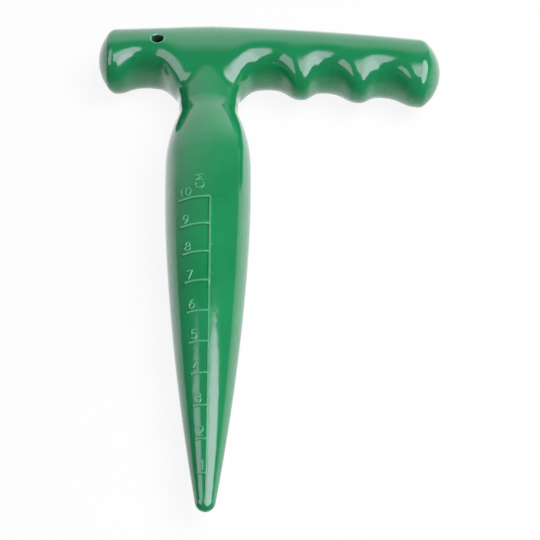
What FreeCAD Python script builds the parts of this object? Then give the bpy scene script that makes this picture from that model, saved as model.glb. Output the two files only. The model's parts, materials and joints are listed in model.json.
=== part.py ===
"""Hand dibber: a moulded planting-hole maker with a T grip, in two glued half shells.

The tool is modelled with the tip of its spike at the origin, the spike along +Y, the finger grooves of the
grip along +X and the face with the depth scale towards +Z. Each shell's Placement then lays the tool on its
back: +Z up, spike towards -Y, origin under the middle of its bounding box. Millimetres and degrees.
"""

import FreeCAD, Part
import math
import os
from collections import namedtuple

import Sketcher
from FreeCAD import Vector

SIZES = {
    # spike: a turned profile of tangent arcs, each size taken on the outer face
    "nose_radius": 3.0,
    "flank_joint_height": 83.0,
    "bulge_radius": 14.25,
    "bulge_height": 121.5,
    "bulge_arc_radius": 525.0,
    "shoulder_arc_radius": 60.0,
    "neck_arc_radius": 15.0,
    "neck_radius": 10.2,
    # grip: crown line on top, thickness below it at each groove and ridge, crest down to the widest line
    "crown_rise": 37.5,
    "crown_dip": 0.9,
    "left_droop_angle": 0.5,
    "right_droop_angle": 3.6,
    "right_crown_radius": 720.0,
    "grip_half_depth": 11.2,
    "grip_crest": 14.3,
    "left_ridge_offset": 32.5,
    "left_end_lead": 6.3,
    "left_ridge_thickness": 23.0,
    "thumb_groove_offset": 23.4,
    "thumb_groove_thickness": 19.2,
    "finger_groove_count": 3,
    "first_groove_offset": 21.3,
    "finger_pitch": 19.9,
    "ridge_lead": 10.4,
    "right_end_lead": 9.0,
    "groove_thickness": 20.6,
    "ridge_thickness": 26.2,
    "ridge_taper": 0.65,
    "root_half_width": 4.8,
    "root_thickness": 33.0,
    "root_crest": 18.5,
    "left_cap_rise": 6.6,
    "left_cap_share": 0.55,
    "right_cap_rise": 8.4,
    "right_cap_share": 0.52,
    "end_edge_radius": 3.0,
    "throat_radius": 8.0,
    # hollow moulding
    "wall": 2.0,
    "tip_plug_length": 20.0,
    "lip_depth": 1.2,
    "lip_clearance": 0.1,
    # stiffening ribs, square to the spike, along the spike and square to the grip
    "rib_thickness": 1.4,
    "rib_setback": 1.8,
    "spike_rib_count": 5,
    "first_spike_rib_height": 38.0,
    "spike_rib_pitch": 24.0,
    "first_grip_rib_offset": -28.0,
    "grip_rib_pitch": 20.0,
    "grip_rib_count": 5,
    # locating pins on the front shell, sockets in the rear shell
    "pin_radius": 1.5,
    "pin_length": 4.0,
    "pin_clearance": 0.1,
    "pin_boss_radius": 3.4,
    "lower_pin_height": 50.0,
    "upper_pin_height": 110.0,
    "inner_pin_offset": 22.0,
    "outer_pin_offset": 62.0,
    # hole for hanging the tool on a nail or hook
    "hanging_hole_radius": 2.0,
    "hanging_hole_offset": 17.3,
    "hanging_hole_depth": 12.9,
    "hanging_boss_radius": 4.2,
    "hole_rim_radius": 0.6,
    # depth scale, raised on the front of the spike
    "mark_height": 0.3,
    "mark_width": 0.5,
    "mark_count": 10,
    "mark_pitch": 10.0,
    "shortest_mark": 2.4,
    "mark_growth": 0.8,
    "scale_turn_angle": 6.0,
}

# worked out from those: the neck's narrowest place, the crown over it, the two ends and the hanging hole
DERIVED_SIZES = {
    "neck_height": "=bulge_height + sqrt((shoulder_arc_radius + neck_arc_radius)^2"
                   " - (shoulder_arc_radius + neck_arc_radius - bulge_radius + neck_radius)^2)",
    "crown_height": "=neck_height + crown_rise",
    "left_reach": "=left_ridge_offset + left_end_lead",
    "right_reach": "=first_groove_offset + (finger_groove_count - 1) * finger_pitch"
                   " + ridge_lead + right_end_lead",
    "hanging_hole_height": "=crown_height - hanging_hole_depth",
}

MARGIN = 20.0  # how far cutting boxes stand past the tool
SECTION_POINTS = 8  # points that carry one round section of the grip
STATIONS_PER_RUN = 5  # sections of the grip from one groove or ridge to the next
GROOVE_SHARE = 0.6  # share of a groove-to-ridge run taken by the groove's wider arc
SEAM_TURN = 0.125  # where that section starts, in turns from the crown
EDGE_SAMPLES = 7  # points looked at on an edge to find out where it lies
SHORTEST_EDGE = 1.0  # edges under this are left out of such a search
NEAR = 0.02  # how close to a surface such a point must lie
TINY = 1e-6


def make_sheet(doc):
    """Driving dimensions and what follows from them, one cell each, reached by alias."""
    sheet = doc.addObject("Spreadsheet::Sheet", "sizes")
    for row, (name, value) in enumerate([*SIZES.items(), *DERIVED_SIZES.items()], start=1):
        sheet.set(f"A{row}", name)
        sheet.set(f"B{row}", str(value))
        sheet.setAlias(f"B{row}", name)
    doc.recompute()
    return sheet


def bind(item, **expressions):
    """Tie properties of a document object to expressions on the sheet."""
    for name, expression in expressions.items():
        item.setExpression(name.replace("__", "."), expression)
    return item


def origin_plane(body, role):
    return next(f for f in body.Origin.OriginFeatures if f.Role == role)


def constrain(sketch, measures):
    """Adds (kind, places, value, expression) as dimensions that follow the sheet."""
    for kind, places, value, expression in measures:
        index = sketch.addConstraint(Sketcher.Constraint(kind, *places, value))
        sketch.setExpression(f"Constraints[{index}]", expression)


# ---------------------------------------------------------------- spike

class SpikeProfile:
    """Centres, radii and angles of the spike's tangent arcs, drawn in by an inset."""

    def __init__(self, sheet, inset):
        bulge = sheet.bulge_arc_radius
        self.joint_angle = math.asin((sheet.bulge_height - sheet.flank_joint_height) / bulge)
        cosine, sine = math.cos(self.joint_angle), math.sin(self.joint_angle)
        self.nose_centre = Vector(0, sheet.nose_radius, 0)
        self.bulge_centre = Vector(sheet.bulge_radius - bulge, sheet.bulge_height, 0)
        outward = Vector(cosine, -sine, 0)
        joint = self.bulge_centre + outward * bulge
        rise = joint - self.nose_centre
        nose = sheet.nose_radius
        flank = (rise.dot(rise) - nose**2) / (2 * (rise.dot(outward) - nose))
        self.flank_centre = joint - outward * flank
        towards_nose = self.nose_centre - self.flank_centre
        self.nose_angle = math.atan2(towards_nose.y, towards_nose.x)
        self.shoulder_centre = Vector(sheet.bulge_radius - sheet.shoulder_arc_radius, sheet.bulge_height, 0)
        self.neck_centre = Vector(sheet.neck_radius + sheet.neck_arc_radius, sheet.neck_height, 0)
        towards_neck = self.neck_centre - self.shoulder_centre
        self.shoulder_angle = math.atan2(towards_neck.y, towards_neck.x)
        self.nose = nose - inset
        self.flank = flank - inset
        self.bulge = bulge - inset
        self.shoulder = sheet.shoulder_arc_radius - inset
        self.neck = sheet.neck_arc_radius + inset

    def arcs(self):
        """The five arcs from nose to neck, each as Sketcher wants it."""
        quarter = math.pi / 2
        half = math.pi
        spans = [
            (self.nose_centre, self.nose, -quarter, self.nose_angle),
            (self.flank_centre, self.flank, self.nose_angle, -self.joint_angle),
            (self.bulge_centre, self.bulge, -self.joint_angle, 0.0),
            (self.shoulder_centre, self.shoulder, 0.0, self.shoulder_angle),
            (self.neck_centre, self.neck, half, half + self.shoulder_angle),
        ]
        normal = Vector(0, 0, 1)
        return [Part.ArcOfCircle(Part.Circle(centre, normal, radius), first, last)
                for centre, radius, first, last in spans]


def add_spike(doc, sheet, name, inset):
    """The spike, turned up to the grip's widest line, its whole skin drawn in by the inset expression."""
    body = doc.addObject("PartDesign::Body", name)
    inset_now = sheet.evalExpression(inset).Value
    sketch = body.newObject("Sketcher::SketchObject", name + "_profile")
    sketch.AttachmentSupport = [(origin_plane(body, "XY_Plane"), "")]
    sketch.MapMode = "FlatFace"

    profile = SpikeProfile(sheet, inset_now)
    nose, flank, bulge, shoulder, neck = [sketch.addGeometry(arc, False) for arc in profile.arcs()]
    neck_x = sheet.neck_radius - inset_now
    top_y = sheet.crown_height - sheet.root_crest
    neck_foot = Vector(neck_x, profile.neck_centre.y, 0)
    neck_top = Vector(neck_x, top_y, 0)
    axis_top = Vector(0, top_y, 0)
    axis_foot = Vector(0, inset_now, 0)
    neck_line = sketch.addGeometry(Part.LineSegment(neck_foot, neck_top), False)
    top_line = sketch.addGeometry(Part.LineSegment(neck_top, axis_top), False)
    axis_line = sketch.addGeometry(Part.LineSegment(axis_top, axis_foot), False)

    start, end, centre = 1, 2, 3
    root, vertical_axis = -1, -2
    rules = [
        ("Tangent", nose, end, flank, start),
        ("Tangent", flank, end, bulge, start),
        ("Tangent", bulge, end, shoulder, start),
        ("Tangent", shoulder, end, neck, end),
        ("Tangent", neck, start, neck_line, start),
        ("Coincident", neck_line, end, top_line, start),
        ("Coincident", top_line, end, axis_line, start),
        ("Coincident", axis_line, end, nose, start),
        ("PointOnObject", nose, centre, vertical_axis),
        ("PointOnObject", nose, start, vertical_axis),
        ("PointOnObject", axis_line, start, vertical_axis),
        ("Vertical", neck_line),
        ("Horizontal", top_line),
    ]
    for rule in rules:
        sketch.addConstraint(Sketcher.Constraint(*rule))

    joint_sine = "(sizes.bulge_height - sizes.flank_joint_height) / sizes.bulge_arc_radius"
    measures = [
        ("Radius", (nose,), profile.nose, f"sizes.nose_radius * 1 mm - ({inset})"),
        ("Radius", (bulge,), profile.bulge, f"sizes.bulge_arc_radius * 1 mm - ({inset})"),
        ("Radius", (shoulder,), profile.shoulder, f"sizes.shoulder_arc_radius * 1 mm - ({inset})"),
        ("Radius", (neck,), profile.neck, f"sizes.neck_arc_radius * 1 mm + ({inset})"),
        ("DistanceY", (root, start, nose, centre), profile.nose_centre.y, "sizes.nose_radius * 1 mm"),
        ("DistanceX", (root, start, bulge, centre), profile.bulge_centre.x,
         "(sizes.bulge_radius - sizes.bulge_arc_radius) * 1 mm"),
        ("DistanceY", (root, start, bulge, centre), profile.bulge_centre.y, "sizes.bulge_height * 1 mm"),
        ("DistanceY", (root, start, shoulder, centre), profile.shoulder_centre.y,
         "sizes.bulge_height * 1 mm"),
        ("DistanceX", (root, start, neck, centre), profile.neck_centre.x,
         "(sizes.neck_radius + sizes.neck_arc_radius) * 1 mm"),
        ("DistanceY", (root, start, bulge, start),
         profile.bulge_centre.y - profile.bulge * math.sin(profile.joint_angle),
         f"sizes.bulge_height * 1 mm - (sizes.bulge_arc_radius * 1 mm - ({inset})) * {joint_sine}"),
        ("DistanceY", (root, start, neck_line, end), top_y,
         "(sizes.crown_height - sizes.root_crest) * 1 mm"),
    ]
    constrain(sketch, measures)
    doc.recompute()

    turned = body.newObject("PartDesign::Revolution", name + "_turned")
    turned.Profile = sketch
    turned.ReferenceAxis = (sketch, ["V_Axis"])
    turned.Angle = 360.0
    return body


# ---------------------------------------------------------------- grip

Knot = namedtuple("Knot", "x thickness crest dip is_groove")


def grip_knots(sheet):
    """The grip's measures at every groove and ridge and over the neck, left end to right end."""
    def knot(x, thickness, is_groove):
        return Knot(x, thickness, sheet.grip_crest, sheet.crown_dip, is_groove)

    def root(x):
        return Knot(x, sheet.root_thickness, sheet.root_crest, 0.0, False)

    knots = [
        knot(-sheet.left_reach - MARGIN, sheet.left_ridge_thickness, False),
        knot(-sheet.left_ridge_offset, sheet.left_ridge_thickness, False),
        knot(-sheet.thumb_groove_offset, sheet.thumb_groove_thickness, True),
        root(-sheet.root_half_width),
        root(sheet.root_half_width),
    ]
    for finger in range(int(sheet.finger_groove_count)):
        groove = sheet.first_groove_offset + finger * sheet.finger_pitch
        ridge_thickness = sheet.ridge_thickness - finger * sheet.ridge_taper
        knots.append(knot(groove, sheet.groove_thickness, True))
        knots.append(knot(groove + sheet.ridge_lead, ridge_thickness, False))
    knots.append(knot(sheet.right_reach + MARGIN, ridge_thickness, False))
    return knots


def measure_at(sheet, x, name):
    """A measure of the grip: two tangent arcs from knot to knot, wide in a groove, tight over a ridge."""
    knots = grip_knots(sheet)
    left, right = next(pair for pair in zip(knots, knots[1:]) if x <= pair[1].x)
    value_left, value_right = getattr(left, name), getattr(right, name)
    run = right.x - left.x
    step = value_right - value_left
    if abs(step) < TINY:
        return value_left
    both_radii = (run**2 + step**2) / (2 * abs(step))
    share = 0.5
    if left.is_groove != right.is_groove:
        share = GROOVE_SHARE if left.is_groove else 1 - GROOVE_SHARE
    side = math.copysign(1.0, step)
    radius = both_radii * share
    if x < left.x + run * share:
        return value_left + side * (radius - math.sqrt(radius**2 - (x - left.x) ** 2))
    radius = both_radii - radius
    return value_right - side * (radius - math.sqrt(radius**2 - (right.x - x) ** 2))


def crown_at(sheet, x):
    """Height of the grip's top line: a low swell over the neck, level to the left, drooping to the right."""
    top = sheet.crown_height - measure_at(sheet, x, "dip")
    if x < 0:
        return top + x * math.tan(math.radians(sheet.left_droop_angle))
    droop = x * math.tan(math.radians(sheet.right_droop_angle))
    return top - droop - x**2 / (2 * sheet.right_crown_radius)


def grip_stations(sheet):
    """Where along the grip its sections stand."""
    stations = []
    knots = grip_knots(sheet)
    for left, right in zip(knots, knots[1:]):
        for piece in range(STATIONS_PER_RUN):
            stations.append(left.x + (right.x - left.x) * piece / STATIONS_PER_RUN)
    return stations + [knots[-1].x]


def unit_ring():
    """A closed smooth round, 2 high and 2 wide, its seam halfway between crown and front."""
    points = []
    for step in range(SECTION_POINTS):
        angle = 2 * math.pi * (step / SECTION_POINTS + SEAM_TURN)
        points.append(Vector(math.cos(angle), math.sin(angle), 0))
    curve = Part.BSplineCurve()
    curve.interpolate(Points=points, PeriodicFlag=True)
    return curve


def grip_spine(stations, heights, reaches):
    """The grip's widest line, each point carrying in z how far the section reaches from it."""
    spine = Part.BSplineCurve()
    points = [Vector(x, height, reach) for x, height, reach in zip(stations, heights, reaches)]
    spine.interpolate(Points=points, Parameters=stations)
    return spine


def grip_bar(sheet, inset):
    """The bar: an egg-shaped section carried along the grip, between crown and underside."""
    stations = grip_stations(sheet)
    crests = [measure_at(sheet, x, "crest") for x in stations]
    thicknesses = [measure_at(sheet, x, "thickness") for x in stations]
    widest = [crown_at(sheet, x) - crest for x, crest in zip(stations, crests)]
    upper = grip_spine(stations, widest, [crest - inset for crest in crests])
    lower = grip_spine(stations, widest, [thickness - crest - inset
                                          for thickness, crest in zip(thicknesses, crests)])
    ring = unit_ring()
    half_depth = sheet.grip_half_depth - inset
    poles = []
    for place in ring.getPoles():
        spine = upper if place.x > 0 else lower
        poles.append([Vector(knot.x, knot.y + knot.z * place.x, half_depth * place.y)
                      for knot in spine.getPoles()])
    skin = Part.BSplineSurface()
    skin.buildFromPolesMultsKnots(
        poles, ring.getMultiplicities(), upper.getMultiplicities(),
        ring.getKnots(), upper.getKnots(), True, False, ring.Degree, upper.Degree)
    side = skin.toShape()
    rings = [edge for edge in side.Edges if edge.BoundBox.XLength < TINY]
    ends = [Part.Face(Part.Wire([edge])) for edge in rings]
    shell = Part.makeShell([side] + ends)
    shell.sewShape()
    bar = Part.makeSolid(shell)
    if bar.Volume < 0:
        bar.reverse()
    return bar


def end_balls(sheet):
    """(side, centre, radius) of the two balls that round off the ends of the bar."""
    ends = [
        (-1, sheet.left_reach, sheet.left_cap_rise, sheet.left_cap_share),
        (1, sheet.right_reach, sheet.right_cap_rise, sheet.right_cap_share),
    ]
    balls = []
    for side, reach, rise, share in ends:
        rim_x = side * (reach - rise)
        thickness = measure_at(sheet, rim_x, "thickness")
        depth = share * thickness
        farthest = max(depth, thickness - depth, math.hypot(sheet.grip_half_depth, sheet.grip_crest - depth))
        radius = (farthest**2 + rise**2) / (2 * rise)
        height = crown_at(sheet, rim_x) - depth
        balls.append((side, Vector(side * (reach - radius), height, 0), radius))
    return balls


def end_cutter(side, centre, radius):
    """What lies outside one end ball: a block with the ball taken out."""
    width = radius + 2 * MARGIN
    corner = Vector(centre.x if side > 0 else centre.x - width, centre.y - width, -width)
    block = Part.makeBox(width, 2 * width, 2 * width, corner)
    return block.cut(Part.makeSphere(radius, centre, Vector(1, 0, 0)))


def add_grip(doc, sheet, name, inset):
    """The grip bar with its two round ends, drawn in by the inset expression."""
    grip = doc.addObject("Part::Feature", name)
    inset_now = sheet.evalExpression(inset).Value
    shape = grip_bar(sheet, inset_now)
    for side, centre, radius in end_balls(sheet):
        shape = shape.cut(end_cutter(side, centre, radius - inset_now))
    grip.Shape = shape
    return grip


# ---------------------------------------------------------------- whole tool, at any inset

def points_on(edge):
    if edge.Degenerated or edge.Length < SHORTEST_EDGE:
        return []
    return edge.discretize(EDGE_SAMPLES)


def edges_where(shape, holds):
    """Names of the edges whose points all satisfy a test."""
    names = []
    for number, edge in enumerate(shape.Edges, start=1):
        points = points_on(edge)
        if points and all(holds(point) for point in points):
            names.append(f"Edge{number}")
    return names


def throat_edges(sheet, shape, inset):
    """Where the neck of the spike runs into the grip."""
    radius = sheet.neck_radius - inset
    underside = sheet.crown_height - sheet.root_thickness - sheet.throat_radius

    def on_neck(point):
        return abs(math.hypot(point.x, point.z) - radius) < NEAR and point.y > underside

    def is_saddle(edge):
        """Neither a level ring of the neck nor its upright seam."""
        return edge.BoundBox.XLength > SHORTEST_EDGE and edge.BoundBox.YLength > SHORTEST_EDGE / 2
    return [name for name in edges_where(shape, on_neck) if is_saddle(shape.getElement(name))]


def end_edges(sheet, shape):
    """Rims where the ball ends cut the bar."""
    names = []
    for side, centre, radius in end_balls(sheet):
        apex = centre.x + side * radius

        def on_rim(point):
            return abs((point - centre).Length - radius) < NEAR and abs(point.x - apex) > SHORTEST_EDGE
        names += edges_where(shape, on_rim)
    return names


def add_body_on(doc, name, base):
    body = doc.addObject("PartDesign::Body", name)
    body.BaseFeature = base
    doc.recompute()
    return body


def add_fillet(body, name, edges, radius):
    base = body.Tip
    fillet = body.newObject("PartDesign::Fillet", name)
    fillet.Base = (base, edges)
    fillet.Refine = False
    fillet.setExpression("Radius", radius)
    body.Tip = fillet
    body.Document.recompute()
    return fillet


def add_form(doc, sheet, name, inset):
    """Spike and grip joined by the throat's fillet, all drawn in by one inset expression."""
    spike = add_spike(doc, sheet, name + "_spike", inset)
    grip = add_grip(doc, sheet, name + "_grip", inset)
    joined = doc.addObject("Part::Fuse", name + "_joined")
    joined.Base = spike
    joined.Tool = grip
    doc.recompute()
    form = add_body_on(doc, name, joined)
    edges = throat_edges(sheet, form.Shape, sheet.evalExpression(inset).Value)
    add_fillet(form, name + "_throat", edges, f"sizes.throat_radius * 1 mm + {inset}")
    return form


def add_hanging_hole(body, sheet):
    """A round pocket right through the grip."""
    sketch = body.newObject("Sketcher::SketchObject", "hanging_hole_circle")
    sketch.AttachmentSupport = [(origin_plane(body, "XY_Plane"), "")]
    sketch.MapMode = "FlatFace"
    middle = Vector(-sheet.hanging_hole_offset, sheet.hanging_hole_height, 0)
    circle = sketch.addGeometry(Part.Circle(middle, Vector(0, 0, 1), sheet.hanging_hole_radius), False)
    root, start, centre = -1, 1, 3
    measures = [
        ("Radius", (circle,), sheet.hanging_hole_radius, "sizes.hanging_hole_radius * 1 mm"),
        ("DistanceX", (circle, centre, root, start), -middle.x, "sizes.hanging_hole_offset * 1 mm"),
        ("DistanceY", (root, start, circle, centre), middle.y, "sizes.hanging_hole_height * 1 mm"),
    ]
    constrain(sketch, measures)
    body.Document.recompute()
    hole = body.newObject("PartDesign::Pocket", "hanging_hole")
    hole.Profile = sketch
    hole.Type = "ThroughAll"
    hole.Midplane = True
    hole.Refine = False
    body.Tip = hole
    body.Document.recompute()


def hole_rims(sheet, shape):
    """The hanging hole's two open edges."""
    away = sheet.grip_half_depth / 2

    def on_rim(point):
        beside = math.hypot(point.x + sheet.hanging_hole_offset, point.y - sheet.hanging_hole_height)
        return abs(beside - sheet.hanging_hole_radius) < NEAR and abs(point.z) > away
    return edges_where(shape, on_rim)


def add_outer_form(doc, sheet):
    """The whole outside of the tool, with soft rims at its ends and round the hanging hole."""
    form = add_form(doc, sheet, "outer_form", "0 mm")
    add_fillet(form, "end_rims", end_edges(sheet, form.Shape), "sizes.end_edge_radius * 1 mm")
    add_hanging_hole(form, sheet)
    add_fillet(form, "hole_rims", hole_rims(sheet, form.Shape), "sizes.hole_rim_radius * 1 mm")
    return form


# ---------------------------------------------------------------- small building blocks

def add_boolean(doc, kind, name, base, tool):
    item = doc.addObject("Part::" + kind, name)
    item.Base = base
    item.Tool = tool
    item.Refine = False
    return item


def add_union(doc, name, shapes):
    item = doc.addObject("Part::MultiFuse", name)
    item.Shapes = shapes
    item.Refine = False
    return item


def add_box(doc, name, x, y, z):
    """A box from (low, high) expressions, plain numbers in millimetres, on each axis."""
    box = doc.addObject("Part::Box", name)
    for (low, high), length, axis in ((x, "Length", "x"), (y, "Width", "y"), (z, "Height", "z")):
        box.setExpression(length, f"(({high}) - ({low})) * 1 mm")
        box.setExpression(f"Placement.Base.{axis}", f"({low}) * 1 mm")
    return box


def add_rod(doc, name, x, y, z, radius):
    """A cylinder along Z from (low, high) expressions."""
    rod = doc.addObject("Part::Cylinder", name)
    low, high = z
    return bind(rod, Radius=f"({radius}) * 1 mm", Height=f"(({high}) - ({low})) * 1 mm",
                Placement__Base__x=f"({x}) * 1 mm", Placement__Base__y=f"({y}) * 1 mm",
                Placement__Base__z=f"({low}) * 1 mm")


WHOLE_X = (f"-sizes.left_reach - {MARGIN}", f"sizes.right_reach + {MARGIN}")
WHOLE_Y = (f"-{MARGIN}", f"sizes.crown_height + {MARGIN}")
DEEP = f"(sizes.bulge_radius + {MARGIN})"
SIDES = {"front": 1, "rear": -1}


def away_from_parting(side, near, far=DEEP):
    """A Z range on one side of the parting plane, from near to far of it."""
    return (near, far) if SIDES[side] > 0 else (f"-({far})", f"-({near})")


def grip_middle(sheet, x):
    """Height of the grip's middle above the tip, for what stands inside the grip."""
    return crown_at(sheet, x) - measure_at(sheet, x, "thickness") / 2


# ---------------------------------------------------------------- inside of the shells

def pin_places(sheet):
    """(name, x, y) expressions of each locating pin: two up the spike, two along the middle of the grip."""
    return [
        ("lower", "0", "sizes.lower_pin_height"),
        ("upper", "0", "sizes.upper_pin_height"),
        ("inner", "sizes.inner_pin_offset", str(grip_middle(sheet, sheet.inner_pin_offset))),
        ("outer", "sizes.outer_pin_offset", str(grip_middle(sheet, sheet.outer_pin_offset))),
    ]


def add_stiffeners(doc, sheet, side):
    """Ribs, pin bosses and the hanging hole's boss, which the hollow of one shell goes round."""
    behind = away_from_parting(side, "sizes.rib_setback")
    whole = away_from_parting(side, "0")
    half_rib = "sizes.rib_thickness / 2"
    items = [add_box(doc, side + "_spine_rib", (f"-{half_rib}", half_rib),
                     ("0", "sizes.crown_height - sizes.groove_thickness"), behind)]
    for rib in range(int(sheet.spike_rib_count)):
        height = f"(sizes.first_spike_rib_height + {rib} * sizes.spike_rib_pitch)"
        items.append(add_box(doc, f"{side}_spike_rib_{rib + 1}", WHOLE_X,
                             (f"{height} - {half_rib}", f"{height} + {half_rib}"), behind))
    grip_foot = "sizes.crown_height - sizes.ridge_thickness - sizes.throat_radius / 2"
    for rib in range(int(sheet.grip_rib_count)):
        offset = f"(sizes.first_grip_rib_offset + {rib} * sizes.grip_rib_pitch)"
        items.append(add_box(doc, f"{side}_grip_rib_{rib + 1}",
                             (f"{offset} - {half_rib}", f"{offset} + {half_rib}"),
                             (grip_foot, WHOLE_Y[1]), behind))
    for name, x, y in pin_places(sheet):
        items.append(add_rod(doc, f"{side}_{name}_pin_boss", x, y, whole, "sizes.pin_boss_radius"))
    items.append(add_rod(doc, side + "_hanging_boss", "-sizes.hanging_hole_offset",
                         "sizes.hanging_hole_height", whole, "sizes.hanging_boss_radius"))
    return add_union(doc, side + "_stiffeners", items)


def add_half(doc, sheet, side, outer, cavity):
    """One half of the tool, hollow but for its stiffeners."""
    half_space = add_box(doc, side + "_space", WHOLE_X, WHOLE_Y, away_from_parting(side, "0"))
    half = add_boolean(doc, "Common", side + "_half", outer, half_space)
    stiffeners = add_stiffeners(doc, sheet, side)
    hollow = add_boolean(doc, "Cut", side + "_hollow", cavity, stiffeners)
    return add_boolean(doc, "Cut", side + "_moulding", half, hollow)


def add_lip_ring(doc, name, form, cavity, depth):
    """The ring between a form and the cavity, just behind the parting plane."""
    slab = add_box(doc, name + "_slab", WHOLE_X, WHOLE_Y, away_from_parting("rear", "0", depth))
    plate = add_boolean(doc, "Common", name + "_plate", form, slab)
    return add_boolean(doc, "Cut", name, plate, cavity)


# ---------------------------------------------------------------- depth scale

def add_depth_scale(doc, sheet):
    """The raised line and its ticks, one to each centimetre from the tip, turned a little to the right."""
    skin = add_spike(doc, sheet, "mark_skin", "-sizes.mark_height * 1 mm")
    root = add_spike(doc, sheet, "mark_root", "sizes.wall / 2 * 1 mm")
    layer = add_boolean(doc, "Cut", "mark_layer", skin, root)
    half = "sizes.mark_width / 2"
    front = ("0", DEEP)
    top = "sizes.mark_count * sizes.mark_pitch"
    along = ("sizes.mark_pitch / 2", f"{top} + {half}")
    bars = [add_box(doc, "scale_line", (f"-{half}", half), along, front)]
    for mark in range(1, int(sheet.mark_count) + 1):
        height = f"{mark} * sizes.mark_pitch"
        length = f"(sizes.shortest_mark + {mark - 1} * sizes.mark_growth)"
        bars.append(add_box(doc, f"tick_{mark}", (f"-{length}", "0"),
                            (f"{height} - {half}", f"{height} + {half}"), front))
    scale = add_union(doc, "scale_bars", bars)
    scale.Placement = FreeCAD.Placement(Vector(), FreeCAD.Rotation(Vector(0, 1, 0), sheet.scale_turn_angle))
    bind(scale, Placement__Rotation__Angle="sizes.scale_turn_angle * 1 deg")
    return add_boolean(doc, "Common", "depth_scale", layer, scale)


# ---------------------------------------------------------------- sub-parts

def lay_down(body):
    """Lays a finished shell on its back with the origin under the middle of the tool."""
    return bind(body,
                Placement__Base__x="(sizes.left_reach - sizes.right_reach) / 2 * 1 mm",
                Placement__Base__y="-sizes.crown_height / 2 * 1 mm",
                Placement__Base__z="sizes.bulge_radius * 1 mm")


def finish_shell(doc, side, moulding):
    """The finished shell as a body, laid down."""
    shell = add_body_on(doc, side + "_shell", moulding)
    shell.Label = side + "_shell"
    return lay_down(shell)


def add_front_shell(doc, sheet, outer, cavity):
    """The shell with the depth scale, the tongue of the lip and the locating pins."""
    half = add_half(doc, sheet, "front", outer, cavity)
    tongue_form = add_form(doc, sheet, "tongue_form", "(sizes.wall + sizes.lip_clearance) / 2 * 1 mm")
    tongue = add_lip_ring(doc, "tongue", tongue_form, cavity, "sizes.lip_depth")
    pins = [add_rod(doc, name + "_pin", x, y, ("-sizes.pin_length", "sizes.pin_radius"), "sizes.pin_radius")
            for name, x, y in pin_places(sheet)]
    scale = add_depth_scale(doc, sheet)
    moulding = add_union(doc, "front_joined", [half, tongue, scale] + pins)
    return finish_shell(doc, "front", moulding)


def add_rear_shell(doc, sheet, outer, cavity):
    """The plain shell, rebated for the tongue and bored for the pins."""
    half = add_half(doc, sheet, "rear", outer, cavity)
    rebate_form = add_form(doc, sheet, "rebate_form", "(sizes.wall - sizes.lip_clearance) / 2 * 1 mm")
    rebate = add_lip_ring(doc, "rebate", rebate_form, cavity, "sizes.lip_depth + sizes.lip_clearance")
    sockets = [add_rod(doc, name + "_socket", x, y, ("-sizes.pin_length - sizes.pin_clearance", "0"),
                       "sizes.pin_radius + sizes.pin_clearance") for name, x, y in pin_places(sheet)]
    recesses = add_union(doc, "rear_recesses", [rebate] + sockets)
    moulding = add_boolean(doc, "Cut", "rear_recessed", half, recesses)
    return finish_shell(doc, "rear", moulding)


def check_and_export(doc, parts):
    for item in doc.Objects:
        if "Invalid" in item.State or "Error" in item.State:
            raise RuntimeError(f"{item.Name} did not build: {item.State}")
    for part in parts:
        if part.Shape.isNull() or not part.Shape.isValid():
            raise RuntimeError(f"{part.Label} has no valid shape")
        if len(part.Shape.Solids) != 1:
            raise RuntimeError(f"{part.Label} is {len(part.Shape.Solids)} solids, not one")
    os.makedirs("parts", exist_ok=True)
    for part in parts:
        part.Shape.exportStep(f"parts/{part.Label}.step")


def main():
    doc = FreeCAD.newDocument("dibber")
    sheet = make_sheet(doc)
    outer = add_outer_form(doc, sheet)
    core = add_form(doc, sheet, "core_form", "sizes.wall * 1 mm")
    tip_plug = add_box(doc, "tip_plug", WHOLE_X, (f"-{MARGIN}", "sizes.tip_plug_length"), (f"-{DEEP}", DEEP))
    cavity = add_boolean(doc, "Cut", "cavity", core, tip_plug)
    shells = [
        add_front_shell(doc, sheet, outer, cavity),
        add_rear_shell(doc, sheet, outer, cavity),
    ]
    doc.recompute()
    check_and_export(doc, shells)


main()
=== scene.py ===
"""Looks of the hand dibber: glossy green plastic, rounded depth scale with raised figures, plain studio light."""

import json
import math

import bpy
from mathutils import Matrix, Vector
from mathutils.bvhtree import BVHTree


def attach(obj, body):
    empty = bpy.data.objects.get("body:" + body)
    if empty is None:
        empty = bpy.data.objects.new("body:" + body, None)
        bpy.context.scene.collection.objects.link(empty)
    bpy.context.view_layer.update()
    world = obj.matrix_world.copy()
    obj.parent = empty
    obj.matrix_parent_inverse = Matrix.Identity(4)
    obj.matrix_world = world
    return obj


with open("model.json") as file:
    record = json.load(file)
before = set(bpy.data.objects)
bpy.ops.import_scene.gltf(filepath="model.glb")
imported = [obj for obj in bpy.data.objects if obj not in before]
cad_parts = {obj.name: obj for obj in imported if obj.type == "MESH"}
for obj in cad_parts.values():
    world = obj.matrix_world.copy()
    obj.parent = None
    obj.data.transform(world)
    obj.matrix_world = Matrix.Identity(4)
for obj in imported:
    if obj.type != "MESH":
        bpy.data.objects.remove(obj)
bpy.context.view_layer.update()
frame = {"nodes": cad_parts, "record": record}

MM = 0.001

# ---- spike and depth scale, as the solids have them
SPIKE_X = -20.85 * MM
TIP_Y = -91.656 * MM
SPIKE_AXIS_Z = 14.25 * MM
MARK_COUNT = 10
MARK_PITCH = 10 * MM
SCALE_TURN = math.radians(6.0)
SHORTEST_MARK = 2.4 * MM
MARK_GROWTH = 0.8 * MM

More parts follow.
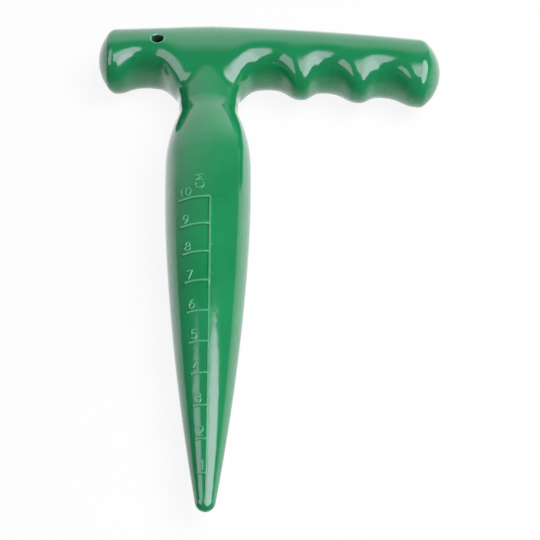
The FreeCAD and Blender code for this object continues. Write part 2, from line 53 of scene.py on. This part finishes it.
# ---- camera, measured from the tip's point on the spike axis
CAMERA_FROM_TIP = Vector((19.81, -146.56, 350.17)) * MM
CAMERA_ELEVATION = math.radians(57.0)
CAMERA_ROLL = math.radians(-1.258)
LENS_MM = 88.15
SENSOR_MM = 36.0
NEAREST_SEEN = 10 * MM

# ---- finding the skin: rays start over the object, the round is measured on bare skin beside the scale
RAY_START_Z = 100 * MM
BARE_SKIN_OFFSET = 1.5 * MM

# ---- rounded ridges over the scale's bars
RIDGE_RADIUS = 0.42 * MM
RIDGE_SINK = 0.06 * MM
RIDGE_STEP = 0.5 * MM
BEAD_RESOLUTION = 3

# ---- raised figures, the unit after them and specks beside the scale's line
FIGURE_HEIGHT = 2.8 * MM
FIGURE_WIDTH = 1.65 * MM
FIGURE_PITCH = 2.05 * MM
FIGURE_INSET = 1.4 * MM
SECOND_FIGURE_SHIFT = 0.3 * FIGURE_WIDTH
FIRST_RISE = 0.75 * MM
RISE_GROWTH = 0.06 * MM
UNIT_PLACES = {"C": (-1.9 * MM, 104.5 * MM), "M": (-1.9 * MM, 107.5 * MM)}
UNIT_HEIGHT = 2.7 * MM
UNIT_WIDTH = 2.25 * MM
UNIT_TURN = math.pi / 2
SPECK_PLACES = ((1.91, 93.2), (1.93, 82.4), (2.10, 72.2), (2.41, 61.8), (4.20, 99.1), (1.70, 103.7))
SPECK_LENGTH = 0.35 * MM
STROKE_RADIUS = 0.28 * MM
STROKE_LIFT = 0.08 * MM
STROKE_STEP = 0.12 * MM

# ---- plastic: colours as linear red, green and blue
SKIN_DARK = (0.0085, 0.222, 0.076)
SKIN_LIGHT = (0.0120, 0.266, 0.098)
SKIN_ROUGHNESS = (0.07, 0.15)
# raised marks: painted highlight, a lighter green standing in for the light their rounded beads catch, with a
# rougher gloss
RAISED_HIGHLIGHT_DARK = (0.030, 0.310, 0.125)
RAISED_HIGHLIGHT_LIGHT = (0.045, 0.350, 0.150)
RAISED_ROUGHNESS = (0.28, 0.40)
PLASTIC_IOR = 1.5
CLOUD_RANGE = (0.3, 0.7)
RIPPLE_STRENGTH = 0.35
RIPPLE_HEIGHT = 0.07 * MM

# ---- noise, as scale per metre and detail
CLOUDS = (45.0, 3.0)
SMUDGES = (160.0, 4.0)
RIPPLES = (220.0, 2.0)

# ---- hanging hole: painted shade makes it dark inside, and it is dull there; a painted highlight makes its rim pale; each fades over a range of radii
BORE_SHADE_EDGE = (2.02 * MM, 2.2 * MM)
BORE_SHADE_COLOUR = (0.002, 0.024, 0.009)
BORE_ROUGHNESS = 0.7
RIM_HIGHLIGHT_EDGE = (2.45 * MM, 2.8 * MM)
RIM_HIGHLIGHT_COLOUR = (0.070, 0.400, 0.200)

# ---- floor
FLOOR_HALF = 3.0
FLOOR_GREY = 0.9
FLOOR_GLOW_SHARE = 0.9

# ---- gloss panels: corners as tangents from straight up, brightness as fades over those tangents
PANEL_HEIGHT = 0.9
PANEL_TINT = (1.09, 0.83, 1.15)
RIGHT_PANEL = ((4.50, 0.36), (0.60, 0.36), (0.30, 0.315), (0.12, 0.23), (-0.10, 0.02), (-0.18, -0.50),
               (-0.20, -0.90), (0.10, -1.40), (1.40, -4.00), (4.50, -4.00))
LEFT_PANEL = ((-0.38, 0.0), (-0.40, 0.42), (-1.60, 0.42), (-1.70, 0.0), (-4.80, -0.50), (-4.80, -2.20),
              (-1.67, -2.20))
RIGHT_CORNER_FADE = ((-0.14, 0.2), (0.6, 6.0))
RIGHT_SIDE_FADE = ((0.15, 0.6), (0.0, 2.2))
LEFT_INNER_FADE = ((-0.62, -0.42), (4.0, 1.0))
LEFT_FAR_FADE = ((0.24, 0.41), (1.0, 0.0))

# ---- key light, for the shading only
KEY_PLACE = Vector((0.42, -0.12, 0.88))
KEY_TARGET = Vector((0, 0, 0))
KEY_SIZE = 0.6
KEY_WATTS = 9.6

# ---- world: grey for the shading, and what the gloss sees by the direction of its rays
AMBIENT = 0.24
ROOM_TINT = (1.02, 1.0, 1.06)
BACKDROP_HALF_WIDTH = 0.74
BACKDROP_SHIFT = 0.095
BACKDROP_TOP = 0.76
BACKDROP_FADE = ((0.6, 1.45), (1.7, 0.12))
HORIZON_FADE = ((-0.08, 0.02), (0, 1))
FRONT_FADE = ((-0.35, 0.1), (0, 1))

# ---- grey by degrees over the horizon
TABLE_BEHIND = ((-90, 1.3), (-60, 1.05), (-45, 1.3), (-25, 1.8), (-12, 1.6), (0, 1.3))
ROOM_BEFORE = ((-90, 1.1), (-70, 1.15), (-60, 1.05), (-50, 0.9), (-40, 0.65), (-33, 0.42), (-27, 0.2), (-20, 0.1),
               (0, 0.12), (60, 0.14), (90, 0.25))


# ---------------------------------------------------------------- shader nodes

def put(tree, value, socket):
    """Feed a socket from another socket, or set it to a constant."""
    if isinstance(value, bpy.types.NodeSocket):
        tree.links.new(value, socket)
    else:
        socket.default_value = value


def math_node(tree, operation, *values):
    """Result of one sum on sockets and numbers."""
    node = tree.nodes.new("ShaderNodeMath")
    node.operation = operation
    for socket, value in zip(node.inputs, values):
        put(tree, value, socket)
    return node.outputs[0]


def eased(tree, value, fade):
    """A value carried smoothly from one range to another, held at its ends."""
    node = tree.nodes.new("ShaderNodeMapRange")
    node.interpolation_type = "SMOOTHSTEP"
    node.inputs["From Min"].default_value, node.inputs["From Max"].default_value = fade[0]
    node.inputs["To Min"].default_value, node.inputs["To Max"].default_value = fade[1]
    tree.links.new(value, node.inputs["Value"])
    return node.outputs["Result"]


def mixed(tree, factor, first, second, kind="RGBA", way="MIX"):
    """Result of one mix of two colours, or of two numbers where the kind is FLOAT."""
    node = tree.nodes.new("ShaderNodeMix")
    node.data_type = kind
    node.blend_type = way
    for name, value in (("Factor", factor), ("A", first), ("B", second)):
        put(tree, value, node.inputs[name])
    return node.outputs["Result"]


def noise(tree, place, kind):
    """Noise over the object, from its scale and detail."""
    node = tree.nodes.new("ShaderNodeTexNoise")
    node.inputs["Scale"].default_value, node.inputs["Detail"].default_value = kind
    tree.links.new(place, node.inputs["Vector"])
    return node.outputs["Fac"]


def grey(level):
    return (level, level, level, 1)


# ---------------------------------------------------------------- materials

def green_plastic(name, dark, light, roughness):
    """Injection-moulded plastic: faint flow clouds in the colour, a soft ripple in the gloss."""
    material = bpy.data.materials.new(name)
    material.use_nodes = True
    tree = material.node_tree
    shader = tree.nodes["Principled BSDF"]
    shader.inputs["IOR"].default_value = PLASTIC_IOR
    place = tree.nodes.new("ShaderNodeTexCoord").outputs["Object"]

    colour = tree.nodes.new("ShaderNodeValToRGB")
    for element, position, value in zip(colour.color_ramp.elements, CLOUD_RANGE, (dark, light)):
        element.position = position
        element.color = (*value, 1)
    tree.links.new(noise(tree, place, CLOUDS), colour.inputs["Fac"])
    tree.links.new(colour.outputs["Color"], shader.inputs["Base Color"])

    gloss = tree.nodes.new("ShaderNodeMapRange")
    gloss.inputs["To Min"].default_value, gloss.inputs["To Max"].default_value = roughness
    tree.links.new(noise(tree, place, SMUDGES), gloss.inputs["Value"])
    tree.links.new(gloss.outputs["Result"], shader.inputs["Roughness"])

    bump = tree.nodes.new("ShaderNodeBump")
    bump.inputs["Strength"].default_value = RIPPLE_STRENGTH
    bump.inputs["Distance"].default_value = RIPPLE_HEIGHT
    tree.links.new(noise(tree, place, RIPPLES), bump.inputs["Height"])
    tree.links.new(bump.outputs["Normal"], shader.inputs["Normal"])
    return material


def shade_hole(material, hole):
    """Paint shade inside the hanging hole and a pale highlight on its rim, by the distance from the hole's axis.
    """
    tree = material.node_tree
    shader = tree.nodes["Principled BSDF"]
    flat = tree.nodes.new("ShaderNodeVectorMath")
    flat.operation = "MULTIPLY"
    flat.inputs[1].default_value = (1, 1, 0)
    tree.links.new(tree.nodes.new("ShaderNodeTexCoord").outputs["Object"], flat.inputs[0])
    away = tree.nodes.new("ShaderNodeVectorMath")
    away.operation = "DISTANCE"
    away.inputs[1].default_value = (hole[0], hole[1], 0)
    tree.links.new(flat.outputs["Vector"], away.inputs[0])

    def lay_over(socket, edge, value, kind):
        """Put a value over what feeds the socket, out to an edge round the hole."""
        before = socket.links[0].from_socket
        share = eased(tree, away.outputs["Value"], (edge, (1.0, 0.0)))
        tree.links.new(mixed(tree, share, before, value, kind), socket)

    # painted highlight: a pale ring on the hole's rim
    lay_over(shader.inputs["Base Color"], RIM_HIGHLIGHT_EDGE, (*RIM_HIGHLIGHT_COLOUR, 1), "RGBA")
    # painted shade: the inside of the hole darkened, and dulled
    lay_over(shader.inputs["Base Color"], BORE_SHADE_EDGE, (*BORE_SHADE_COLOUR, 1), "RGBA")
    lay_over(shader.inputs["Roughness"], BORE_SHADE_EDGE, BORE_ROUGHNESS, "FLOAT")


def pale_floor():
    """A pale matt floor: white to the camera apart from the object's faint shadow, quieter in bounced light."""
    material = bpy.data.materials.new("pale_floor")
    material.use_nodes = True
    tree = material.node_tree
    shader = tree.nodes["Principled BSDF"]
    shader.inputs["Base Color"].default_value = grey(FLOOR_GREY)
    shader.inputs["Roughness"].default_value = 1.0
    shader.inputs["Specular IOR Level"].default_value = 0.0
    glow = tree.nodes.new("ShaderNodeEmission")
    glow.inputs["Color"].default_value = grey(1)
    path = tree.nodes.new("ShaderNodeLightPath")
    mix = tree.nodes.new("ShaderNodeMixShader")
    tree.links.new(math_node(tree, "MULTIPLY", path.outputs["Is Camera Ray"], FLOOR_GLOW_SHARE), mix.inputs["Fac"])
    tree.links.new(shader.outputs[0], mix.inputs[1])
    tree.links.new(glow.outputs[0], mix.inputs[2])
    tree.links.new(mix.outputs[0], tree.nodes["Material Output"].inputs["Surface"])
    return material


# ---------------------------------------------------------------- raised scale and figures

def arc(middle_x, middle_y, radius_x, radius_y, first, last, steps=14):
    """Points along a stretch of an ellipse, angles in degrees, counter-clockwise from +x."""
    points = []
    for step in range(steps + 1):
        angle = math.radians(first + (last - first) * step / steps)
        points.append((middle_x + radius_x * math.cos(angle), middle_y + radius_y * math.sin(angle)))
    return points


# strokes of each sign, as lists of points in a box 1 wide and 1 high
STROKES = {
    "0": [arc(0.5, 0.5, 0.5, 0.5, 90, 450, 28)],
    "1": [[(0.15, 0.78), (0.5, 1.0), (0.5, 0.0)]],
    "2": [arc(0.5, 0.7, 0.46, 0.3, 165, -25) + [(0.02, 0.0), (1.0, 0.0)]],
    "3": [arc(0.45, 0.75, 0.45, 0.25, 150, -80) + arc(0.47, 0.26, 0.5, 0.26, 80, -150)],
    "4": [[(0.72, 0.0), (0.72, 1.0), (0.0, 0.3), (1.0, 0.3)]],
    "5": [[(0.95, 1.0), (0.18, 1.0), (0.1, 0.56)] + arc(0.45, 0.32, 0.5, 0.32, 125, -150)],
    "6": [[(0.85, 0.98)] + arc(0.85, 0.35, 0.8, 0.6, 105, 180) + arc(0.5, 0.3, 0.45, 0.3, 180, 540, 24)],
    "7": [[(0.0, 1.0), (1.0, 1.0), (0.3, 0.0)]],
    "8": [arc(0.5, 0.75, 0.38, 0.25, 270, 630, 24), arc(0.5, 0.26, 0.48, 0.26, 90, 450, 24)],
    "9": [arc(0.5, 0.7, 0.45, 0.3, 0, 360, 24) + arc(0.15, 0.65, 0.8, 0.65, 0, -75)],
    "C": [arc(0.55, 0.5, 0.5, 0.5, 50, 310, 20)],
    "M": [[(0.0, 0.0), (0.08, 1.0), (0.5, 0.3), (0.92, 1.0), (1.0, 0.0)]],
}


class FrontSkin:
    """The front of the spike, found by looking straight down on the solid."""

    def __init__(self, node):
        corners = [vertex.co.copy() for vertex in node.data.vertices]
        faces = [tuple(polygon.vertices) for polygon in node.data.polygons]
        self.tree = BVHTree.FromPolygons(corners, faces)

    def at(self, x, y):
        """The skin's point and normal at a place seen from above."""
        place, normal, _, _ = self.tree.ray_cast(Vector((x, y, RAY_START_Z)), Vector((0, 0, -1)))
        return place, normal

    def radius(self, y):
        """Half thickness of the spike at a height, taken beside the scale where the skin is bare."""
        place, _ = self.at(SPIKE_X + BARE_SKIN_OFFSET, y)
        return math.hypot(place.x - SPIKE_X, place.z - SPIKE_AXIS_Z)

    def on_round(self, turned_x, y, rise):
        """A point at a rise over the round skin, from its place across the scale's own turned frame."""
        radius = self.radius(y) + rise
        angle = SCALE_TURN + math.asin(turned_x / radius)
        return Vector((SPIKE_X + radius * math.sin(angle), y, SPIKE_AXIS_Z + radius * math.cos(angle)))


def walk(points, step):
    """The same line with points no further than a step apart."""
    line = [Vector(points[0])]
    for start, end in zip(points, points[1:]):
        run = Vector(end) - Vector(start)
        parts = max(1, math.ceil(run.length / step))
        line += [Vector(start) + run * part / parts for part in range(1, parts + 1)]
    return line


def bead_piece(name, lines, radius, material):
    """Round beads along lines of points, as one smooth mesh that rides on the body."""
    curve = bpy.data.curves.new(name, "CURVE")
    curve.dimensions = "3D"
    curve.bevel_depth = radius
    curve.bevel_resolution = BEAD_RESOLUTION
    curve.use_fill_caps = True
    for line in lines:
        spline = curve.splines.new("POLY")
        spline.points.add(len(line) - 1)
        for target, place in zip(spline.points, line):
            target.co = (*place, 1)
    made = bpy.data.objects.new(name, curve)
    bpy.context.scene.collection.objects.link(made)
    bpy.context.view_layer.update()
    mesh = bpy.data.meshes.new_from_object(made)
    bpy.data.objects.remove(made)
    mesh.name = name
    mesh.polygons.foreach_set("use_smooth", [True] * len(mesh.polygons))
    mesh.materials.clear()
    mesh.materials.append(material)
    piece = bpy.data.objects.new(name, mesh)
    bpy.context.scene.collection.objects.link(piece)
    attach(piece, "root")


def raised_sign(name, skin, sign, middle, size, turn, material):
    """One sign as round beads laid on the skin, half sunk in it."""
    cosine, sine = math.cos(turn), math.sin(turn)
    lines = []
    for stroke in STROKES[sign]:
        flat = []
        for u, v in stroke:
            across, along = (u - 0.5) * size[0], (v - 0.5) * size[1]
            flat.append((middle[0] + across * cosine - along * sine, middle[1] + across * sine + along * cosine))
        line = []
        for point in walk(flat, STROKE_STEP):
            place, normal = skin.at(point.x, point.y)
            line.append(place + normal * STROKE_LIFT)
        lines.append(line)
    bead_piece(name, lines, STROKE_RADIUS, material)


def scale_ridge(name, skin, first, last, material):
    """A rounded ridge over one bar of the scale, between two places in the scale's turned frame."""
    parts = max(1, math.ceil(math.hypot(last[0] - first[0], last[1] - first[1]) / RIDGE_STEP))
    line = []
    for part in range(parts + 1):
        share = part / parts
        line.append(skin.on_round(first[0] + (last[0] - first[0]) * share, first[1] + (last[1] - first[1]) * share,
                                  -RIDGE_SINK))
    bead_piece(name, [line], RIDGE_RADIUS, material)


def add_mark(skin, mark, material):
    """One tick of the scale, with its number over it."""
    y = TIP_Y + mark * MARK_PITCH
    length = SHORTEST_MARK + (mark - 1) * MARK_GROWTH
    scale_ridge(f"scale_tick_{mark}", skin, (-length, y), (0, y), material)
    text = str(mark)
    x = skin.on_round(-length, y, 0).x + FIGURE_INSET + (len(text) - 1) * SECOND_FIGURE_SHIFT
    rise = FIRST_RISE + (mark - 1) * RISE_GROWTH
    for number, sign in enumerate(text):
        shift = (number - (len(text) - 1) / 2) * FIGURE_PITCH
        raised_sign(f"figure_{text}_{number + 1}", skin, sign, (x + shift, y + rise + FIGURE_HEIGHT / 2),
                    (FIGURE_WIDTH, FIGURE_HEIGHT), 0.0, material)


def add_specks(skin, material):
    """Small mould specks beside the scale's line."""
    lines = []
    for across, along in SPECK_PLACES:
        x, y = SPIKE_X + across * MM, TIP_Y + along * MM
        lines.append([skin.at(x, y - SPECK_LENGTH / 2)[0], skin.at(x, y + SPECK_LENGTH / 2)[0]])
    bead_piece("mould_specks", lines, STROKE_RADIUS, material)


# ---------------------------------------------------------------- camera, floor and light

def add_camera():
    """The photograph's camera: level but for its elevation and a small roll."""
    forward = Vector((0, math.cos(CAMERA_ELEVATION), -math.sin(CAMERA_ELEVATION)))
    level_up = Vector((0, math.sin(CAMERA_ELEVATION), math.cos(CAMERA_ELEVATION)))
    cosine, sine = math.cos(CAMERA_ROLL), math.sin(CAMERA_ROLL)
    right = Vector((cosine, 0, 0)) + sine * level_up
    up = Vector((-sine, 0, 0)) + cosine * level_up
    data = bpy.data.cameras.new("camera")
    data.lens = LENS_MM
    data.sensor_width = SENSOR_MM
    data.clip_start = NEAREST_SEEN
    camera = bpy.data.objects.new("camera", data)
    turn = Matrix((right, up, -forward)).transposed().to_4x4()
    place = Vector((SPIKE_X, TIP_Y, SPIKE_AXIS_Z)) + CAMERA_FROM_TIP
    camera.matrix_world = Matrix.Translation(place) @ turn
    bpy.context.scene.collection.objects.link(camera)
    bpy.context.scene.camera = camera


def add_floor():
    """A large pale floor that the object lies on, left out of the gloss."""
    mesh = bpy.data.meshes.new("floor")
    mesh.from_pydata([(-FLOOR_HALF, -FLOOR_HALF, 0), (FLOOR_HALF, -FLOOR_HALF, 0), (FLOOR_HALF, FLOOR_HALF, 0),
                      (-FLOOR_HALF, FLOOR_HALF, 0)], [], [(0, 1, 2, 3)])
    mesh.materials.append(pale_floor())
    floor = bpy.data.objects.new("floor", mesh)
    bpy.context.scene.collection.objects.link(floor)
    floor.visible_glossy = False


def add_key_light():
    """One soft lamp for the shading; the gloss sees the panels in its place."""
    data = bpy.data.lights.new("key_light", "AREA")
    data.shape = "RECTANGLE"
    data.size = KEY_SIZE
    data.size_y = KEY_SIZE
    data.energy = KEY_WATTS
    lamp = bpy.data.objects.new("key_light", data)
    lamp.location = KEY_PLACE
    lamp.rotation_euler = (KEY_TARGET - KEY_PLACE).to_track_quat("-Z", "Y").to_euler()
    bpy.context.scene.collection.objects.link(lamp)
    lamp.visible_camera = False
    lamp.visible_glossy = False


def add_gloss_panel(name, corners, level_of):
    """A level softbox over the object that only the gloss sees."""
    mesh = bpy.data.meshes.new(name)
    mesh.from_pydata([(x * PANEL_HEIGHT, y * PANEL_HEIGHT, PANEL_HEIGHT) for x, y in corners], [],
                     [tuple(range(len(corners)))])
    material = bpy.data.materials.new(name)
    material.use_nodes = True
    tree = material.node_tree
    tree.nodes.remove(tree.nodes["Principled BSDF"])
    place = tree.nodes.new("ShaderNodeTexCoord")
    split = tree.nodes.new("ShaderNodeSeparateXYZ")
    tree.links.new(place.outputs["Object"], split.inputs["Vector"])
    across = math_node(tree, "MULTIPLY", split.outputs["X"], 1 / PANEL_HEIGHT)
    along = math_node(tree, "MULTIPLY", split.outputs["Y"], 1 / PANEL_HEIGHT)
    glow = tree.nodes.new("ShaderNodeEmission")
    glow.inputs["Color"].default_value = (*PANEL_TINT, 1)
    tree.links.new(level_of(tree, across, along), glow.inputs["Strength"])
    tree.links.new(glow.outputs[0], tree.nodes["Material Output"].inputs["Surface"])
    mesh.materials.append(material)
    panel = bpy.data.objects.new(name, mesh)
    bpy.context.scene.collection.objects.link(panel)
    panel.visible_camera = False
    panel.visible_diffuse = False
    panel.visible_shadow = False


def right_level(tree, across, along):
    """Bright to the right, fading towards the corner nearest to straight up."""
    corner = eased(tree, math_node(tree, "SUBTRACT", across, along), RIGHT_CORNER_FADE)
    return math_node(tree, "ADD", corner, eased(tree, across, RIGHT_SIDE_FADE))


def left_level(tree, across, along):
    """Dimmer, with soft far and inner edges."""
    inner = eased(tree, across, LEFT_INNER_FADE)
    return math_node(tree, "MULTIPLY", inner, eased(tree, along, LEFT_FAR_FADE))


def grey_by_height(tree, height, stops):
    """Grey by the angle over the horizon, from pairs of degrees and level."""
    ramp = tree.nodes.new("ShaderNodeValToRGB")
    elements = ramp.color_ramp.elements
    while len(elements) < len(stops):
        elements.new(0.5)
    for element, (degrees, level) in zip(elements, stops):
        element.position = (math.sin(math.radians(degrees)) + 1) / 2
        element.color = grey(level)
    tree.links.new(math_node(tree, "MULTIPLY_ADD", height, 0.5, 0.5), ramp.inputs["Fac"])
    return ramp.outputs["Color"]


def add_world():
    """Even grey for the shading, white to the camera, and for the gloss a bright backdrop in a dark room."""
    world = bpy.data.worlds.new("world")
    bpy.context.scene.world = world
    world.use_nodes = True
    tree = world.node_tree
    background = tree.nodes["Background"]
    background.inputs["Strength"].default_value = 1.0
    place = tree.nodes.new("ShaderNodeTexCoord")
    split = tree.nodes.new("ShaderNodeSeparateXYZ")
    tree.links.new(place.outputs["Generated"], split.inputs["Vector"])
    side, depth, height = split.outputs["X"], split.outputs["Y"], split.outputs["Z"]

    across = math_node(tree, "MULTIPLY_ADD", side, 1 / BACKDROP_HALF_WIDTH, BACKDROP_SHIFT)
    above = math_node(tree, "MULTIPLY", height, 1 / BACKDROP_TOP)
    reach = math_node(tree, "ADD", math_node(tree, "MULTIPLY", across, across),
                      math_node(tree, "MULTIPLY", above, above))
    behind = mixed(tree, eased(tree, height, HORIZON_FADE), grey_by_height(tree, height, TABLE_BEHIND),
                   eased(tree, reach, BACKDROP_FADE))
    gloss = mixed(tree, eased(tree, depth, FRONT_FADE), grey_by_height(tree, height, ROOM_BEFORE), behind)
    tinted = mixed(tree, 1.0, gloss, (*ROOM_TINT, 1), way="MULTIPLY")
    path = tree.nodes.new("ShaderNodeLightPath")
    unseen = mixed(tree, path.outputs["Is Glossy Ray"], grey(AMBIENT), tinted)
    seen = mixed(tree, path.outputs["Is Camera Ray"], unseen, grey(1))
    tree.links.new(seen, background.inputs["Color"])


# ---------------------------------------------------------------- the scene

plastic = green_plastic("green_plastic", SKIN_DARK, SKIN_LIGHT, SKIN_ROUGHNESS)
# the raised marks' plastic: its lighter green is painted highlight
painted_highlight_plastic = green_plastic("green_plastic_painted_highlight", RAISED_HIGHLIGHT_DARK, RAISED_HIGHLIGHT_LIGHT, RAISED_ROUGHNESS)
shade_hole(plastic, frame["record"]["mounts"][0]["pos_m"])
for shell in frame["nodes"].values():
    shell.data.materials.clear()
    shell.data.materials.append(plastic)

front = FrontSkin(frame["nodes"]["front_shell"])
scale_ridge("scale_line", front, (0, TIP_Y + MARK_PITCH), (0, TIP_Y + MARK_COUNT * MARK_PITCH), painted_highlight_plastic)
for tick in range(1, MARK_COUNT + 1):
    add_mark(front, tick, painted_highlight_plastic)
add_specks(front, painted_highlight_plastic)
for letter, (x_off, y_off) in UNIT_PLACES.items():
    raised_sign(f"unit_{letter}", front, letter, (SPIKE_X + x_off, TIP_Y + y_off), (UNIT_WIDTH, UNIT_HEIGHT),
                UNIT_TURN, painted_highlight_plastic)

add_camera()
add_floor()
add_world()
add_gloss_panel("right_panel", RIGHT_PANEL, right_level)
add_gloss_panel("left_panel", LEFT_PANEL, left_level)
add_key_light()
bpy.context.scene.view_settings.view_transform = "Standard"
